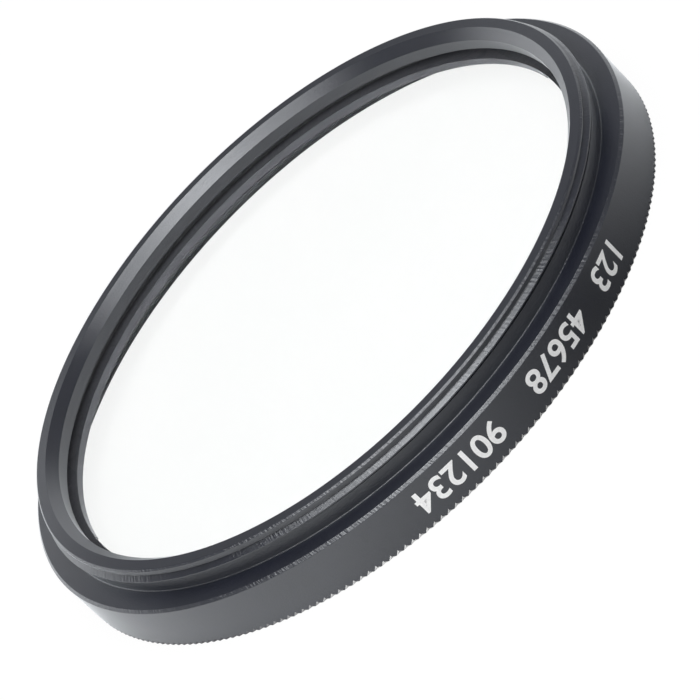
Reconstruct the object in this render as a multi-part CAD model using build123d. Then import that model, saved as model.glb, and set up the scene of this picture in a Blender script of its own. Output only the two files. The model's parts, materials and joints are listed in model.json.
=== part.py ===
from build123d import *
import math
import os

# A screw-in filter for the front of a camera lens: a turned ring, a clear glass disc and the
# retaining ring that holds it. Millimetres. The axis is Z, the front face of the filter lies
# on Z = 0, and the male thread that goes into the lens points up.

# Lens thread, the same size at both ends of the filter
thread_diameter = 49.0
thread_pitch = 0.75
thread_crest_clearance = 0.05
thread_depth_in_pitches = 5 / 16 * math.sqrt(3)
thread_flank_angle = 30.0

# Grip, the wide band that the fingers hold
grip_flange = 1.5
grip_height = 3.75
grip_rim_chamfer = 0.2

# Knurl, a row of slanted V grooves across the front corner of the grip, which overlap a
# little so that the teeth between them are sharp, and are cut in passes of separate grooves
knurl_count = 267
knurl_passes = 3
knurl_height = 0.3
knurl_depth = 0.12
knurl_tooth_overlap = 0.02
knurl_overrun = 0.02

# Boss that carries the male thread, with a relief between the thread and the grip and a
# slimmer pilot at the end that leads the thread into the lens
boss_height = 2.1
boss_wall = 0.5
relief_height = 1.075
relief_depth = 0.19
pilot_height = 0.35
pilot_depth = 0.28
pilot_end_chamfer = 0.12

# Rear recess over the glass, with a bevel that opens to the end face
rear_recess_depth = 0.95
rear_lip_height = 0.1
rear_bevel_width = 0.45

# Front thread's lead-in
mouth_chamfer = 0.75

# Glass disc, which lies against the ledge under the rear lip
glass_thickness = 1.8
glass_clearance = 0.05
glass_edge_chamfer = 0.12
ledge_overlap = 0.7

# Retaining ring, screwed in behind the front thread until it presses on the glass
retainer_height = 0.85
retainer_overlap = 0.8
retainer_clearance = 0.05
spanner_slot_count = 2
spanner_slot_width = 1.2
spanner_slot_depth = 0.45

# Radii, from the thread outwards and inwards
thread_radius = thread_diameter / 2
thread_depth = thread_depth_in_pitches * thread_pitch
crest_radius = thread_radius - thread_crest_clearance
root_radius = crest_radius - thread_depth
relief_radius = crest_radius - relief_depth
pilot_radius = crest_radius - pilot_depth
front_bore_radius = thread_radius - thread_depth
mouth_radius = front_bore_radius + mouth_chamfer
grip_radius = thread_radius + grip_flange
seat_radius = root_radius - boss_wall
glass_radius = seat_radius - glass_clearance
ledge_radius = glass_radius - ledge_overlap
rear_mouth_radius = ledge_radius + rear_bevel_width
retainer_radius = seat_radius - retainer_clearance
retainer_inner_radius = glass_radius - retainer_overlap

# Heights above the front face
ring_height = grip_height + boss_height
relief_top = grip_height + relief_height
thread_bottom = relief_top + relief_depth * math.tan(math.radians(thread_flank_angle))
pilot_bottom = ring_height - pilot_height
thread_top = pilot_bottom - pilot_depth
glass_top = ring_height - rear_recess_depth
glass_bottom = glass_top - glass_thickness
retainer_bottom = glass_bottom - retainer_height


def filter_ring():
    """The turned ring: its section turned about the axis, then knurled."""
    ring = revolve(Plane.XZ * ring_section(), Axis.Z)
    groove = knurl_groove()
    step_angle = 360 / knurl_count
    for first in range(knurl_passes):
        turns = range(first, knurl_count, knurl_passes)
        ring -= [Rot(0, 0, step_angle * turn) * groove for turn in turns]
    return ring


def ring_section():
    """Half section: across the front face, up the outside, over the end and down the bore."""
    outline = Polyline(
        (mouth_radius, 0),
        (grip_radius, 0),
        (grip_radius, grip_height - grip_rim_chamfer),
        (grip_radius - grip_rim_chamfer, grip_height),
        (relief_radius, grip_height),
        (relief_radius, relief_top),
        (crest_radius, thread_bottom),
        (crest_radius, thread_top),
        (pilot_radius, pilot_bottom),
        (pilot_radius, ring_height - pilot_end_chamfer),
        (pilot_radius - pilot_end_chamfer, ring_height),
        (rear_mouth_radius, ring_height),
        (ledge_radius, glass_top + rear_lip_height),
        (ledge_radius, glass_top),
        (seat_radius, glass_top),
        (seat_radius, retainer_bottom),
        (front_bore_radius, retainer_bottom),
        (front_bore_radius, mouth_chamfer),
        close=True,
    )
    return make_face(outline)


def knurl_groove():
    """One V groove at +X, from the side of the grip down to its front face."""
    slant_length = math.hypot(knurl_depth, knurl_height)
    groove_depth = knurl_depth * knurl_height / slant_length
    half_width = math.pi * grip_radius / knurl_count + knurl_tooth_overlap / 2
    cut_depth = groove_depth + knurl_overrun
    cut_half_width = half_width * cut_depth / groove_depth
    slant = Plane(
        origin=(grip_radius, 0, knurl_height),
        x_dir=(0, 1, 0),
        z_dir=(-knurl_depth, 0, -knurl_height),
    )
    vee = Polyline((0, 0), (cut_half_width, cut_depth), (-cut_half_width, cut_depth), close=True)
    return extrude(slant.offset(-knurl_overrun) * make_face(vee), slant_length + 2 * knurl_overrun)


def glass_disc():
    """The clear disc, with its two sharp edges broken."""
    disc = Cylinder(glass_radius, glass_thickness, align=(Align.CENTER, Align.CENTER, Align.MIN))
    disc = chamfer(disc.edges().filter_by(GeomType.CIRCLE), glass_edge_chamfer)
    return Pos(0, 0, glass_bottom) * disc


def retaining_ring():
    """The thin ring under the glass, with slots in its front for a spanner."""
    outline = Polyline(
        (retainer_inner_radius, retainer_bottom),
        (retainer_radius, retainer_bottom),
        (retainer_radius, glass_bottom),
        (retainer_inner_radius, glass_bottom),
        close=True,
    )
    ring = revolve(Plane.XZ * make_face(outline), Axis.Z)
    slot = Box(
        2 * (retainer_radius - retainer_inner_radius),
        spanner_slot_width,
        2 * spanner_slot_depth,
    )
    slot_radius = (retainer_radius + retainer_inner_radius) / 2
    places = Pos(0, 0, retainer_bottom) * PolarLocations(slot_radius, spanner_slot_count)
    return ring - [place * slot for place in places]


os.makedirs("parts", exist_ok=True)
export_step(filter_ring(), "parts/filter_ring.step")
export_step(glass_disc(), "parts/glass_disc.step")
export_step(retaining_ring(), "parts/retaining_ring.step")
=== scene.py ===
import json
import math

import bmesh
import bpy
import numpy as np
from mathutils import Matrix, Vector


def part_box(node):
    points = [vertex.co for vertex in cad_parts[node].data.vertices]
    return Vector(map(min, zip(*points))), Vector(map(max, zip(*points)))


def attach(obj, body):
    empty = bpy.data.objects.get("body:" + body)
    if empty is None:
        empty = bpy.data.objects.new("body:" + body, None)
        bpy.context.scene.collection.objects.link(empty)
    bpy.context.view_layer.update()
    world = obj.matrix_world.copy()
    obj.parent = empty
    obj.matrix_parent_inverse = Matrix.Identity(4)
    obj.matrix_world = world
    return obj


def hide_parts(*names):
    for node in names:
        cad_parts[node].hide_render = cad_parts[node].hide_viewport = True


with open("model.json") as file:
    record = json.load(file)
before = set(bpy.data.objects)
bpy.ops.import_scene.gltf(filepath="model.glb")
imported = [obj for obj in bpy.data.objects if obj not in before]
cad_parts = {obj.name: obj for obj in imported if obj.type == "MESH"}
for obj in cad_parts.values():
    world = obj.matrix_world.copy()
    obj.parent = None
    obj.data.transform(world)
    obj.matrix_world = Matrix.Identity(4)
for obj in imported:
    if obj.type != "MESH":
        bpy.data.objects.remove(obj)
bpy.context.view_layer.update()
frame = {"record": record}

# Lengths are in metres, in the part's own frame: the axis is Z and the front face lies on Z = 0.
mm = 0.001

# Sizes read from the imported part
mounts = {mount["name"]: mount for mount in frame["record"]["mounts"]}
ring_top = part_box("filter_ring")[1]
glass_low, glass_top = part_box("glass_disc")
grip_radius = ring_top[0]
ring_height = ring_top[2]
glass_radius = glass_top[0]
retainer_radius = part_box("retaining_ring")[1][0]


def wall_radius(name):
    return mounts[name]["dims"]["r_mm"] * mm


def wall_ends(name):
    middle = mounts[name]["pos_m"][2]
    half = mounts[name]["dims"]["length_mm"] * mm / 2
    return middle - half, middle + half


crest_radius = wall_radius("male_thread")
grip_height, crest_top = wall_ends("male_thread")
front_bore_radius = wall_radius("front_thread")
mouth_chamfer = wall_ends("front_thread")[0]

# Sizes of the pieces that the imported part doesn't name
rim_chamfer = 0.2 * mm
relief_height = 1.075 * mm
relief_depth = 0.19 * mm
relief_fillet = 0.1 * mm
pilot_depth = 0.28 * mm
pilot_end_chamfer = 0.12 * mm
glass_clearance = 0.05 * mm
glass_edge_chamfer = 0.12 * mm
spanner_slot_width = 1.2 * mm
spanner_slot_depth = 0.35 * mm
spanner_slot_wall = math.radians(0.01)
paint_thickness = 0.008 * mm

# Edges: how far a round reaches from its corner, the most of a side that it may take, and how
# far from the corner the next row lies, in reaches
edge_round = 0.03 * mm
inner_edge_round = 0.008 * mm
edge_round_steps = 3
edge_round_limit = 0.4
support_reach = 1.2
sharp_angle = math.radians(28)

# The rear recess and the retaining ring, measured again after the solids were made: the glass lies
# 0.6 mm deeper than in them, and the lip and the retaining ring reach 0.2 to 0.5 mm further in.
glass_drop = 0.6 * mm
ledge_overlap = 0.92 * mm
rear_lip_height = 0.88 * mm
rear_bevel_width = 0.67 * mm
retainer_overlap = 1.3 * mm
retainer_height = 0.62 * mm

# Thread of 60 degrees, right-handed; its flats and flanks are shares of the pitch
thread_pitch = 0.75 * mm
thread_flank_angle = math.radians(30)
thread_depth = 5 / 16 * math.sqrt(3) * thread_pitch
crest_flat = 1 / 8
flank_share = 5 / 16
male_root_height = 5.44 * mm
female_root_height = 1.2 * mm
thread_start_angle = math.radians(-90)
thread_row_height = 0.0125 * mm
female_row_height = 0.045 * mm
turned_columns = 360

# Knurl across the front corner of the grip. Each groove, with the tooth after it, has three faces
# in a row by the front face and three in a row above: 0 is black, 1 bright metal under painted shade
# towards -X, 2 matt black.
knurl_count = 267
knurl_start_angle = math.radians(-99.27)
knurl_height = 0.3 * mm
knurl_depth = 0.12 * mm
knurl_land = 0.05 * mm
knurl_land_cut = 0.05
knurl_edge_share = 0.45
knurl_materials = ((1, 0, 1), (2, 0, 1))

pilot_radius = crest_radius - pilot_depth
pilot_top = ring_height - pilot_end_chamfer
relief_radius = crest_radius - relief_depth
relief_top = grip_height + relief_height
mouth_radius = front_bore_radius + mouth_chamfer
seat_radius = glass_radius + glass_clearance
ledge_radius = glass_radius - ledge_overlap
rear_mouth_radius = ledge_radius + rear_bevel_width
retainer_inner_radius = glass_radius - retainer_overlap
glass_face = glass_top[2] - glass_drop
glass_bottom = glass_low[2] - glass_drop
retainer_bottom = glass_bottom - retainer_height
painted_grip_radius = grip_radius - paint_thickness


# Shapes

def new_piece(name, mesh):
    piece = bpy.data.objects.new(name, mesh)
    bpy.context.scene.collection.objects.link(piece)
    return piece


def rounded(points):
    """The polyline with each inner corner rounded, by a size of its own if it states one.

    A point just outside each end of an arc keeps the flats beside it flat in the light.
    """
    smooth = [points[0]]
    for before, corner, after in zip(points, points[1:], points[2:]):
        size = corner[2] if len(corner) > 2 else edge_round
        before, corner, after = Vector(before[:2]), Vector(corner[:2]), Vector(after[:2])
        back = before - corner
        onward = after - corner
        reach = min(size, edge_round_limit * back.length, edge_round_limit * onward.length)
        start = corner + back.normalized() * reach
        end = corner + onward.normalized() * reach
        smooth.append(corner.lerp(start, support_reach))
        for step in range(edge_round_steps + 1):
            share = step / edge_round_steps
            smooth.append(start.lerp(corner, share).lerp(corner.lerp(end, share), share))
        smooth.append(corner.lerp(end, support_reach))
    smooth.append(points[-1])
    return smooth


def plain_rows(points, angles):
    """Rows of the same radius and height at every angle."""
    same = np.ones_like(angles)
    return [(radius * same, height * same) for radius, height in points]


def add_band(vertices, faces, rows, angles, closed=False):
    """Quads round the axis: one row for each point of the section, one column for each angle."""
    radii = np.array([radius for radius, height in rows])
    heights = np.array([height for radius, height in rows])
    first = len(vertices)
    points = np.stack([radii * np.cos(angles), radii * np.sin(angles), heights], axis=-1)
    vertices += points.reshape(-1, 3).tolist()
    columns = len(angles)
    for low in range(len(rows) if closed else len(rows) - 1):
        high = (low + 1) % len(rows)
        for at in range(columns):
            after = (at + 1) % columns
            corners = ((low, at), (low, after), (high, after), (high, at))
            faces.append([first + row * columns + column for row, column in corners])


def turned_piece(name, vertices, faces):
    mesh = bpy.data.meshes.new(name)
    mesh.from_pydata(vertices, [], faces)
    mesh.shade_smooth()
    mesh.set_sharp_from_angle(angle=sharp_angle)
    return new_piece(name, mesh)


def even_angles(count):
    return np.linspace(0, 2 * np.pi, count, endpoint=False)


def filter_ring():
    """The ring, turned, threaded and knurled. Its first faces are two rows across the knurl."""
    vertices = []
    faces = []
    knurl_angles, cuts = knurl_columns()
    knurl_rows = []
    for share in (0, knurl_edge_share, 1):
        radius = painted_grip_radius - knurl_depth * (1 - share) * cuts
        knurl_rows.append((radius, knurl_height * share * cuts))
    add_band(vertices, faces, knurl_rows, knurl_angles)
    grip = rounded([
        (painted_grip_radius, knurl_height * support_reach),
        (painted_grip_radius, grip_height - rim_chamfer),
        (painted_grip_radius - rim_chamfer, grip_height),
        (relief_radius, grip_height, relief_fillet),
        (relief_radius, relief_top),
    ])
    front = [(mouth_radius, 0), (painted_grip_radius - knurl_depth * support_reach, 0)]
    add_band(vertices, faces, plain_rows(front, knurl_angles) + knurl_rows[:1], knurl_angles)
    add_band(vertices, faces, knurl_rows[-1:] + plain_rows(grip, knurl_angles), knurl_angles)
    angles = even_angles(turned_columns)
    end = rounded([
        (pilot_radius, pilot_top),
        (pilot_radius - pilot_end_chamfer, ring_height),
        (rear_mouth_radius, ring_height, inner_edge_round),
        (ledge_radius, glass_face + rear_lip_height, inner_edge_round),
        (ledge_radius, glass_face, inner_edge_round),
        (seat_radius, glass_face),
        (seat_radius, retainer_bottom),
        (front_bore_radius, retainer_bottom),
    ])
    rows = plain_rows([(relief_radius, relief_top)], angles) + male_thread(angles)
    rows += plain_rows(end, angles) + female_thread(angles) + plain_rows([(mouth_radius, 0)], angles)
    add_band(vertices, faces, rows, angles)
    return turned_piece("filter_ring_turned", vertices, faces)


def knurl_columns():
    """The columns' angles, and how much of the corner each cuts: all at a groove, little at a tooth."""
    step = 2 * math.pi / knurl_count
    half_land = knurl_land / grip_radius / 2
    angles = []
    cuts = []
    for groove in range(knurl_count):
        middle = knurl_start_angle + groove * step
        angles += [middle, middle + step / 2 - half_land, middle + step / 2 + half_land]
        cuts += [1.0, knurl_land_cut, knurl_land_cut]
    return np.array(angles), np.array(cuts)


def thread_share(height, angles, root_height):
    """How deep a thread of unit depth is at a height: 1 at its root, 0 at its crest."""
    turn = (height - root_height) / thread_pitch - (angles - thread_start_angle) / (2 * np.pi)
    from_crest = np.abs((turn % 1) - 0.5)
    return np.clip((from_crest - crest_flat / 2) / flank_share, 0, 1)


def male_thread(angles):
    """Rows up the boss: the thread between the relief below it and the pilot above it."""
    rows = []
    for height in np.arange(relief_top, pilot_top, thread_row_height)[1:]:
        share = thread_share(height, angles, male_root_height)
        rise = (height - relief_top) / math.tan(thread_flank_angle)
        runout = max(crest_radius - (height - crest_top), pilot_radius)
        outer = min(relief_radius + rise, crest_radius, runout)
        cut = np.maximum(crest_radius - thread_depth * share, relief_radius - rise)
        radius = np.minimum(cut, outer)
        rows.append((radius, np.full_like(angles, height)))
    return rows


def female_thread(angles):
    """Rows down the front bore: the thread, opened by the chamfer at its mouth."""
    rows = []
    for height in np.arange(retainer_bottom, 0, -female_row_height)[1:]:
        share = 1 - thread_share(height, angles, female_root_height)
        radius = np.maximum(front_bore_radius + thread_depth * share, mouth_radius - height)
        rows.append((np.minimum(radius, mouth_radius), np.full_like(angles, height)))
    return rows


def glass_disc():
    """The clear disc, with its sharp edges broken. Its faces are those of the rim, then two flats."""
    flat_radius = glass_radius - glass_edge_chamfer
    section = [
        (flat_radius, glass_bottom),
        (glass_radius, glass_bottom + glass_edge_chamfer),
        (glass_radius, glass_face - glass_edge_chamfer),
        (flat_radius, glass_face),
    ]
    angles = even_angles(turned_columns)
    vertices = []
    faces = []
    add_band(vertices, faces, plain_rows(section, angles), angles)
    faces.append(list(range(turned_columns))[::-1])
    faces.append(list(range(3 * turned_columns, 4 * turned_columns)))
    return turned_piece("glass_disc_clear", vertices, faces)


def retaining_ring():
    """The thin ring under the glass, with two spanner slots across its front face."""
    half_slot = math.asin(spanner_slot_width / 2 / retainer_inner_radius)
    slot_edges = [side + edge for side in (0, math.pi) for edge in (-half_slot, half_slot)]
    shifts = (-spanner_slot_wall, spanner_slot_wall)
    near_edges = [edge + shift for edge in slot_edges for shift in shifts]
    angles = np.sort(np.concatenate([even_angles(turned_columns), near_edges]))
    from_slot = np.abs((angles + math.pi / 2) % math.pi - math.pi / 2)
    low = retainer_bottom + np.where(from_slot < half_slot, spanner_slot_depth, 0)
    same = np.ones_like(angles)
    rows = [
        (retainer_inner_radius * same, low + edge_round),
        ((retainer_inner_radius + edge_round) * same, low),
        (retainer_radius * same, low),
    ]
    rows += plain_rows([(retainer_radius, glass_bottom), (retainer_inner_radius, glass_bottom)], angles)
    vertices = []
    faces = []
    add_band(vertices, faces, rows, angles, closed=True)
    return turned_piece("retaining_ring_turned", vertices, faces)


# Plain white numbers round the grip, in three groups

mark_groups = {"123": -55.2, "45678": -70.8, "901234": -92.5}
mark_height = 1.86 * mm
mark_foot = 0.99 * mm
mark_boldness = 0.018
mark_slice = 0.1 * mm


def number_marks():
    """The numbers, wrapped on the grip so that they read with the front face up."""
    shape = bmesh.new()
    for text, middle in mark_groups.items():
        add_number(shape, text, math.radians(middle))
    mesh = bpy.data.meshes.new("grip_numbers")
    shape.to_mesh(mesh)
    shape.free()
    return new_piece("grip_numbers", mesh)


def flat_number(text):
    """A number as flat faces in the XY plane, as tall as the marks."""
    curve = bpy.data.curves.new("number", "FONT")
    curve.body = text
    curve.align_x = "CENTER"
    curve.offset = mark_boldness
    writer = bpy.data.objects.new("number", curve)
    bpy.context.scene.collection.objects.link(writer)
    bpy.context.view_layer.update()
    flat = bpy.data.meshes.new_from_object(writer.evaluated_get(bpy.context.evaluated_depsgraph_get()))
    bpy.data.objects.remove(writer)
    bpy.data.curves.remove(curve)
    number = bmesh.new()
    number.from_mesh(flat)
    bpy.data.meshes.remove(flat)
    heights = [vertex.co.y for vertex in number.verts]
    size = mark_height / (max(heights) - min(heights))
    foot = min(heights)
    for vertex in number.verts:
        vertex.co = Vector((vertex.co.x * size, (vertex.co.y - foot) * size, 0))
    return number


def add_number(shape, text, middle):
    """One number, cut into narrow strips and bent round the grip, its top to the front face."""
    number = flat_number(text)
    reach = max(abs(vertex.co.x) for vertex in number.verts)
    for cut in np.arange(-reach, reach, mark_slice):
        everything = number.verts[:] + number.edges[:] + number.faces[:]
        bmesh.ops.bisect_plane(number, geom=everything, plane_co=(cut, 0, 0), plane_no=(1, 0, 0))
    bent = {}
    for vertex in number.verts:
        angle = middle - vertex.co.x / grip_radius
        height = mark_foot + mark_height - vertex.co.y
        place = (grip_radius * math.cos(angle), grip_radius * math.sin(angle), height)
        bent[vertex] = shape.verts.new(place)
    for face in number.faces:
        shape.faces.new([bent[vertex] for vertex in face.verts])
    number.free()


# Materials

# Noise scales are in waves a metre; strokes are counted round the ring and leaned by height.
dye_scale = 400
turning_scale = 9000
turning_spread = 0.04
grain_scale = 8000
grain_strength = 0.5
grain_depth = 0.03 * mm
stroke_count = 800
stroke_lean = 3300
stroke_scale = 900
stroke_depth = 0.06 * mm
rubbed_scale = 3000
glass_scale = 60
glass_rim_scale = 2500
paint_scale = 6000
gloss_tint = (0.94, 0.97, 1, 1)
glass_index = 1.52
coating_share = 0.35
# Painted shade on the knurl's facets: dark up to the first X, bright metal from the second on.
painted_shade_from = -20 * mm
painted_shade_to = -8 * mm


def new_material(name):
    """An empty material: its nodes, its links and the socket that its surface goes into."""
    material = bpy.data.materials.new(name)
    material.use_nodes = True
    nodes = material.node_tree.nodes
    nodes.remove(nodes["Principled BSDF"])
    return material, nodes, material.node_tree.links, nodes["Material Output"].inputs["Surface"]


def section_coordinates(nodes, links):
    """Coordinates that are the same all round the axis: radius, height and nothing else."""
    place = nodes.new("ShaderNodeTexCoord")
    flatten = nodes.new("ShaderNodeVectorMath")
    flatten.operation = "MULTIPLY"
    flatten.inputs[1].default_value = (1, 1, 0)
    links.new(place.outputs["Object"], flatten.inputs[0])
    radius = nodes.new("ShaderNodeVectorMath")
    radius.operation = "LENGTH"
    links.new(flatten.outputs["Vector"], radius.inputs[0])
    split = nodes.new("ShaderNodeSeparateXYZ")
    links.new(place.outputs["Object"], split.inputs[0])
    section = nodes.new("ShaderNodeCombineXYZ")
    links.new(radius.outputs["Value"], section.inputs["X"])
    links.new(split.outputs["Z"], section.inputs["Y"])
    return place.outputs["Object"], section.outputs["Vector"]


def noise(nodes, links, vector, scale, detail=2.0):
    texture = nodes.new("ShaderNodeTexNoise")
    texture.inputs["Scale"].default_value = scale
    texture.inputs["Detail"].default_value = detail
    links.new(vector, texture.inputs["Vector"])
    return texture.outputs["Fac"]


def spread(nodes, links, value, low, high):
    """A noise value of about 0.3 to 0.7 spread over low to high."""
    remap = nodes.new("ShaderNodeMapRange")
    remap.inputs["From Min"].default_value = 0.3
    remap.inputs["From Max"].default_value = 0.7
    remap.inputs["To Min"].default_value = low
    remap.inputs["To Max"].default_value = high
    links.new(value, remap.inputs["Value"])
    return remap.outputs["Result"]


def mixed_shaders(nodes, links, share, first, second):
    """The second shader over the first, by a share that a node gives."""
    mix = nodes.new("ShaderNodeMixShader")
    links.new(share, mix.inputs["Fac"])
    links.new(first, mix.inputs[1])
    links.new(second, mix.inputs[2])
    return mix.outputs["Shader"]


def blend(nodes, links, share, first, second):
    """A colour between two colours, by a share that a node gives."""
    mix = nodes.new("ShaderNodeMix")
    mix.data_type = "RGBA"
    mix.inputs["A"].default_value = (*first, 1)
    mix.inputs["B"].default_value = (*second, 1)
    links.new(share, mix.inputs["Factor"])
    return mix.outputs["Result"]


def calculated(nodes, links, operation, first, second):
    """A sum, a product or the like of a node's value with a number or with another node's value."""
    result = nodes.new("ShaderNodeMath")
    result.operation = operation
    links.new(first, result.inputs[0])
    if isinstance(second, (int, float)):
        result.inputs[1].default_value = second
    else:
        links.new(second, result.inputs[1])
    return result.outputs["Value"]


def shine_share(nodes, links, index, amount):
    """How much light shines back at each angle, less what a coating or a matt finish takes."""
    fresnel = nodes.new("ShaderNodeFresnel")
    fresnel.inputs["IOR"].default_value = index
    return calculated(nodes, links, "MULTIPLY", fresnel.outputs["Fac"], amount)


def tool_strokes(nodes, links, place):
    """Noise drawn out into short slanting strokes round the axis, as a tool leaves on a bevel."""
    around = nodes.new("ShaderNodeTexGradient")
    around.gradient_type = "RADIAL"
    links.new(place, around.inputs["Vector"])
    split = nodes.new("ShaderNodeSeparateXYZ")
    links.new(place, split.inputs[0])
    along = calculated(nodes, links, "MULTIPLY", around.outputs["Fac"], stroke_count)
    lean = calculated(nodes, links, "MULTIPLY", split.outputs["Z"], stroke_lean)
    stroke = nodes.new("ShaderNodeCombineXYZ")
    across = calculated(nodes, links, "MULTIPLY", split.outputs["Z"], stroke_scale)
    links.new(calculated(nodes, links, "ADD", along, lean), stroke.inputs["X"])
    links.new(across, stroke.inputs["Y"])
    return noise(nodes, links, stroke.outputs["Vector"], 1.0)


def outer_bevels(nodes, links, section):
    """1 on an outer bevel of 45 degrees, falling to 0 where the ring is level or upright."""
    surface = nodes.new("ShaderNodeNewGeometry")
    facing = nodes.new("ShaderNodeSeparateXYZ")
    links.new(surface.outputs["Normal"], facing.inputs[0])
    level = calculated(nodes, links, "MULTIPLY", facing.outputs["Z"], facing.outputs["Z"])
    doubled = calculated(nodes, links, "MULTIPLY", level, 2.0)
    sloped = calculated(nodes, links, "PINGPONG", doubled, 1.0)
    place = nodes.new("ShaderNodeSeparateXYZ")
    links.new(section, place.inputs[0])
    outside = calculated(nodes, links, "GREATER_THAN", place.outputs["X"], seat_radius)
    return calculated(nodes, links, "MULTIPLY", sloped, outside)


def anodised(name, dark, light, roughness, turned, index, amount):
    """Dyed oxide on turned metal: near black, under a gloss drawn out across the turning marks."""
    material, nodes, links, surface = new_material(name)
    place, section = section_coordinates(nodes, links)
    dye = nodes.new("ShaderNodeBsdfDiffuse")
    patches = noise(nodes, links, place, dye_scale)
    links.new(blend(nodes, links, patches, dark, light), dye.inputs["Color"])
    gloss = nodes.new("ShaderNodeBsdfAnisotropic")
    gloss.distribution = "BECKMANN"
    gloss.inputs["Color"].default_value = gloss_tint
    gloss.inputs["Anisotropy"].default_value = turned
    marks = noise(nodes, links, section, turning_scale, 4.0)
    rough = spread(nodes, links, marks, roughness - turning_spread, roughness + turning_spread)
    links.new(rough, gloss.inputs["Roughness"])
    grain = nodes.new("ShaderNodeBump")
    grain.inputs["Strength"].default_value = grain_strength
    grain.inputs["Distance"].default_value = grain_depth
    links.new(noise(nodes, links, place, grain_scale, 3.0), grain.inputs["Height"])
    strokes = nodes.new("ShaderNodeBump")
    strokes.inputs["Distance"].default_value = stroke_depth
    links.new(outer_bevels(nodes, links, section), strokes.inputs["Strength"])
    links.new(tool_strokes(nodes, links, place), strokes.inputs["Height"])
    links.new(strokes.outputs["Normal"], grain.inputs["Normal"])
    links.new(grain.outputs["Normal"], gloss.inputs["Normal"])
    around = nodes.new("ShaderNodeTangent")
    around.direction_type = "RADIAL"
    around.axis = "Z"
    links.new(around.outputs["Tangent"], gloss.inputs["Tangent"])
    shine = shine_share(nodes, links, index, amount)
    links.new(mixed_shaders(nodes, links, shine, dye.outputs[0], gloss.outputs[0]), surface)
    return material


def black_anodised():
    dark = (0.005, 0.006, 0.011)
    light = (0.009, 0.010, 0.018)
    return anodised("black_anodised", dark, light, roughness=0.36, turned=0.5, index=1.9, amount=1.0)


def black_anodised_matte():
    dark = (0.045, 0.046, 0.053)
    light = (0.065, 0.067, 0.075)
    name = "black_anodised_matte"
    return anodised(name, dark, light, roughness=0.5, turned=0.3, index=1.5, amount=0.5)


def object_noise(nodes, links, scale, detail=2.0):
    place = nodes.new("ShaderNodeTexCoord")
    return noise(nodes, links, place.outputs["Object"], scale, detail)


def rubbed_metal():
    """The knurl's facets: bright metal with a little random wear, under painted shade that darkens them
    towards the -X side.
    """
    material, nodes, links, surface = new_material("rubbed_metal")
    place = nodes.new("ShaderNodeTexCoord")
    split = nodes.new("ShaderNodeSeparateXYZ")
    links.new(place.outputs["Object"], split.inputs[0])
    # Painted shade: a ramp along X darkens the facets towards the -X side, in place of the shaded floor
    # they would mirror there.
    shade_ramp = nodes.new("ShaderNodeMapRange")
    shade_ramp.inputs["From Min"].default_value = painted_shade_from
    shade_ramp.inputs["From Max"].default_value = painted_shade_to
    links.new(split.outputs["X"], shade_ramp.inputs["Value"])
    worn = spread(nodes, links, object_noise(nodes, links, rubbed_scale), 0.8, 1.0)
    unshaded_and_worn = calculated(nodes, links, "MULTIPLY", shade_ramp.outputs["Result"], worn)
    colour = blend(nodes, links, unshaded_and_worn, (0.10, 0.10, 0.11), (0.95, 0.95, 0.95))
    metal = nodes.new("ShaderNodeBsdfPrincipled")
    links.new(colour, metal.inputs["Base Color"])
    metal.inputs["Metallic"].default_value = 1.0
    metal.inputs["Roughness"].default_value = 0.35
    links.new(metal.outputs["BSDF"], surface)
    return material


def clear_glass():
    """Polished glass under a coating that lets it shine less, and clear in its shadow too."""
    material, nodes, links, surface = new_material("clear_glass")
    body = nodes.new("ShaderNodeBsdfRefraction")
    body.inputs["IOR"].default_value = glass_index
    body.inputs["Roughness"].default_value = 0.0
    streaks = object_noise(nodes, links, glass_scale)
    tint = blend(nodes, links, streaks, (0.985, 0.995, 0.99), (1, 1, 1))
    links.new(tint, body.inputs["Color"])
    shine = nodes.new("ShaderNodeBsdfAnisotropic")
    shine.inputs["Color"].default_value = (1, 1, 1, 1)
    shine.inputs["Roughness"].default_value = 0.0
    coated = shine_share(nodes, links, glass_index, coating_share)
    glass = mixed_shaders(nodes, links, coated, body.outputs[0], shine.outputs[0])
    passing = nodes.new("ShaderNodeBsdfTransparent")
    ray = nodes.new("ShaderNodeLightPath")
    shadow = ray.outputs["Is Shadow Ray"]
    links.new(mixed_shaders(nodes, links, shadow, glass, passing.outputs[0]), surface)
    return material


def ground_glass():
    """The disc's rim, left grey and matt by the grinding."""
    material, nodes, links, surface = new_material("ground_glass")
    rim = nodes.new("ShaderNodeBsdfPrincipled")
    grain = object_noise(nodes, links, glass_rim_scale, 3.0)
    colour = blend(nodes, links, grain, (0.07, 0.072, 0.08), (0.12, 0.125, 0.13))
    links.new(colour, rim.inputs["Base Color"])
    rim.inputs["Roughness"].default_value = 0.7
    links.new(rim.outputs["BSDF"], surface)
    return material


def white_paint():
    """The numbers' paint, a little worn."""
    material, nodes, links, surface = new_material("white_paint")
    paint = nodes.new("ShaderNodeBsdfPrincipled")
    wear = spread(nodes, links, object_noise(nodes, links, paint_scale, 3.0), 0.2, 1.0)
    colour = blend(nodes, links, wear, (0.86, 0.87, 0.87), (0.98, 0.98, 0.98))
    links.new(colour, paint.inputs["Base Color"])
    paint.inputs["Roughness"].default_value = 0.55
    links.new(paint.outputs["BSDF"], surface)
    return material


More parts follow.
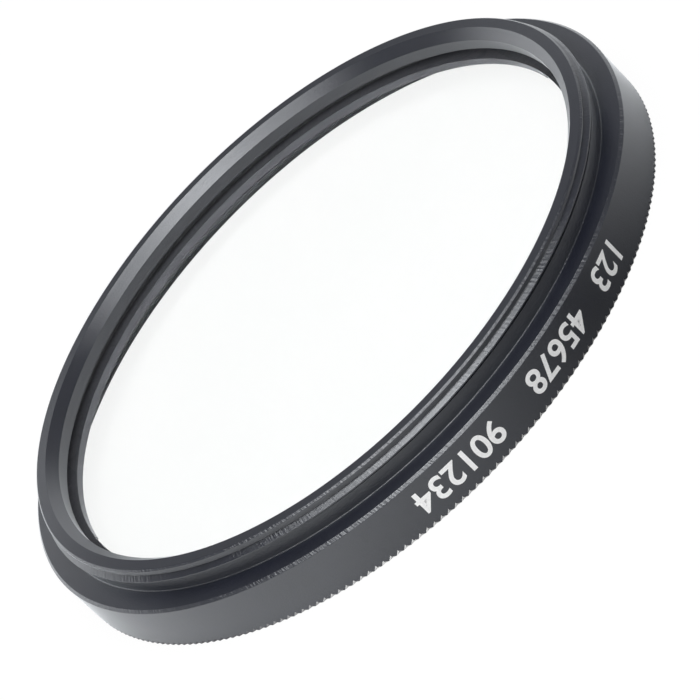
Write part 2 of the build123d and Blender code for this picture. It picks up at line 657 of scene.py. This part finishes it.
def pale_floor():
    """White where it is seen, also through the glass, but for the shadow; in what the ring mirrors, a
    painted shadow darkens it by the right front.
    """
    material, nodes, links, surface = new_material("pale_floor")
    place = nodes.new("ShaderNodeTexCoord")
    away = nodes.new("ShaderNodeVectorMath")
    away.operation = "DISTANCE"
    away.inputs[1].default_value = painted_shadow_place
    links.new(place.outputs["Object"], away.inputs[0])
    fade = nodes.new("ShaderNodeMapRange")
    fade.inputs["From Max"].default_value = painted_shadow_reach
    links.new(away.outputs["Value"], fade.inputs["Value"])
    mirrored = nodes.new("ShaderNodeBsdfDiffuse")
    # Painted shadow: the mirrored floor darkens towards a place by the right front of the ring.
    painted_shadow = blend(nodes, links, fade.outputs["Result"], painted_shadow_colour, floor_colour)
    links.new(painted_shadow, mirrored.inputs["Color"])
    lit = nodes.new("ShaderNodeBsdfDiffuse")
    lit.inputs["Color"].default_value = (*floor_colour, 1)
    glow = nodes.new("ShaderNodeEmission")
    shown = nodes.new("ShaderNodeMixShader")
    shown.inputs["Fac"].default_value = floor_glow
    links.new(lit.outputs[0], shown.inputs[1])
    links.new(glow.outputs[0], shown.inputs[2])
    ray = nodes.new("ShaderNodeLightPath")
    through_glass = ray.outputs["Is Transmission Ray"]
    seen = calculated(nodes, links, "MAXIMUM", ray.outputs["Is Camera Ray"], through_glass)
    links.new(mixed_shaders(nodes, links, seen, mirrored.outputs[0], shown.outputs[0]), surface)
    return material


# Scene

floor_half_size = 1.5
floor_colour = (0.85, 0.85, 0.85)
floor_glow = 0.95
# A painted shadow on the floor by the right front, seen only in what the ring mirrors: darkest at this
# place, fading out over this reach.
painted_shadow_colour = (0.03, 0.03, 0.03)
painted_shadow_place = (17 * mm, -27 * mm, 0)
painted_shadow_reach = 32 * mm
lamp_distance = 0.6
world_level = 0.31


def build_object():
    matte = black_anodised_matte()
    ring = filter_ring()
    for material in (black_anodised(), rubbed_metal(), matte):
        ring.data.materials.append(material)
    for number, face in enumerate(ring.data.polygons[:6 * knurl_count]):
        row = number // (3 * knurl_count)
        face.material_index = knurl_materials[row][number % 3]
    glass = glass_disc()
    glass.data.materials.append(clear_glass())
    glass.data.materials.append(ground_glass())
    for face in glass.data.polygons[:3 * turned_columns]:
        face.material_index = 1
    retainer = retaining_ring()
    retainer.data.materials.append(matte)
    pieces = [
        (ring, "filter_ring", "black_anodised"),
        (glass, "glass_disc", "clear_glass"),
        (retainer, "retaining_ring", "black_anodised_matte"),
    ]
    for piece, node, slot in pieces:
        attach(piece, "root")
        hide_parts(node)
    numbers = number_marks()
    numbers.data.materials.append(white_paint())
    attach(numbers, "root")


def build_floor():
    signs = ((-1, -1), (1, -1), (1, 1), (-1, 1))
    corners = [(floor_half_size * x, floor_half_size * y, 0) for x, y in signs]
    mesh = bpy.data.meshes.new("floor")
    mesh.from_pydata(corners, [], [(0, 1, 2, 3)])
    floor = new_piece("floor", mesh)
    floor.data.materials.append(pale_floor())


def direction(azimuth, elevation):
    """A unit vector; azimuth 0 is the camera's side, and a positive azimuth is to its right."""
    azimuth, elevation = math.radians(azimuth), math.radians(elevation)
    flat = math.cos(elevation)
    return Vector((math.sin(azimuth) * flat, -math.cos(azimuth) * flat, math.sin(elevation)))


def softbox(name, azimuth, elevation, width, height, level):
    """An area lamp that faces the object and shines as brightly as level times white."""
    lamp = bpy.data.lights.new(name, "AREA")
    lamp.shape = "RECTANGLE"
    lamp.size = width
    lamp.size_y = height
    lamp.energy = level * math.pi * width * height
    holder = bpy.data.objects.new(name, lamp)
    bpy.context.scene.collection.objects.link(holder)
    away = direction(azimuth, elevation)
    holder.location = away * lamp_distance
    holder.rotation_euler = away.to_track_quat("Z", "Y").to_euler()


def build_light():
    """Softboxes, each with its azimuth and elevation, width and height, and level; and a dim world."""
    softbox("key_softbox", 0, 75, 0.22, 0.21, 6.3)
    softbox("overhead_softbox", 0, 80, 0.8, 0.25, 5.6)
    softbox("front_softbox", 0, 45, 0.6, 0.16, 1.6)
    softbox("left_softbox", -75, 13, 0.75, 0.24, 0.6)
    softbox("left_back_softbox", -145, 13, 0.6, 0.24, 1.65)
    softbox("right_back_softbox", 148, 13, 0.4, 0.24, 0.9)
    world = bpy.data.worlds.new("studio")
    world.use_nodes = True
    background = world.node_tree.nodes["Background"]
    background.inputs["Color"].default_value = (1, 1, 1, 1)
    background.inputs["Strength"].default_value = world_level
    bpy.context.scene.world = world


# Camera, as fitted to the outlines in the photograph
photo_size = 700
camera_elevation = 28.31
camera_distance = 292.3 * mm
camera_roll = math.radians(-45.73)
focal_pixels = 4222.5
origin_pixel = (353.45, 338.13)
sensor_width = 36.0


def build_camera():
    data = bpy.data.cameras.new("camera")
    data.sensor_width = sensor_width
    data.lens = focal_pixels / photo_size * sensor_width
    data.clip_start = 0.01
    data.clip_end = 10
    data.shift_x = (photo_size / 2 - origin_pixel[0]) / photo_size
    data.shift_y = (origin_pixel[1] - photo_size / 2) / photo_size
    back = direction(0, camera_elevation)
    level_right = Vector((1, 0, 0))
    level_up = back.cross(level_right)
    right = level_right * math.cos(camera_roll) + level_up * math.sin(camera_roll)
    up = back.cross(right)
    camera = bpy.data.objects.new("camera", data)
    bpy.context.scene.collection.objects.link(camera)
    turn = Matrix((right, up, back)).transposed().to_4x4()
    camera.matrix_world = Matrix.Translation(back * camera_distance) @ turn
    bpy.context.scene.camera = camera


build_object()
build_floor()
build_light()
build_camera()
bpy.context.scene.view_settings.view_transform = "Standard"
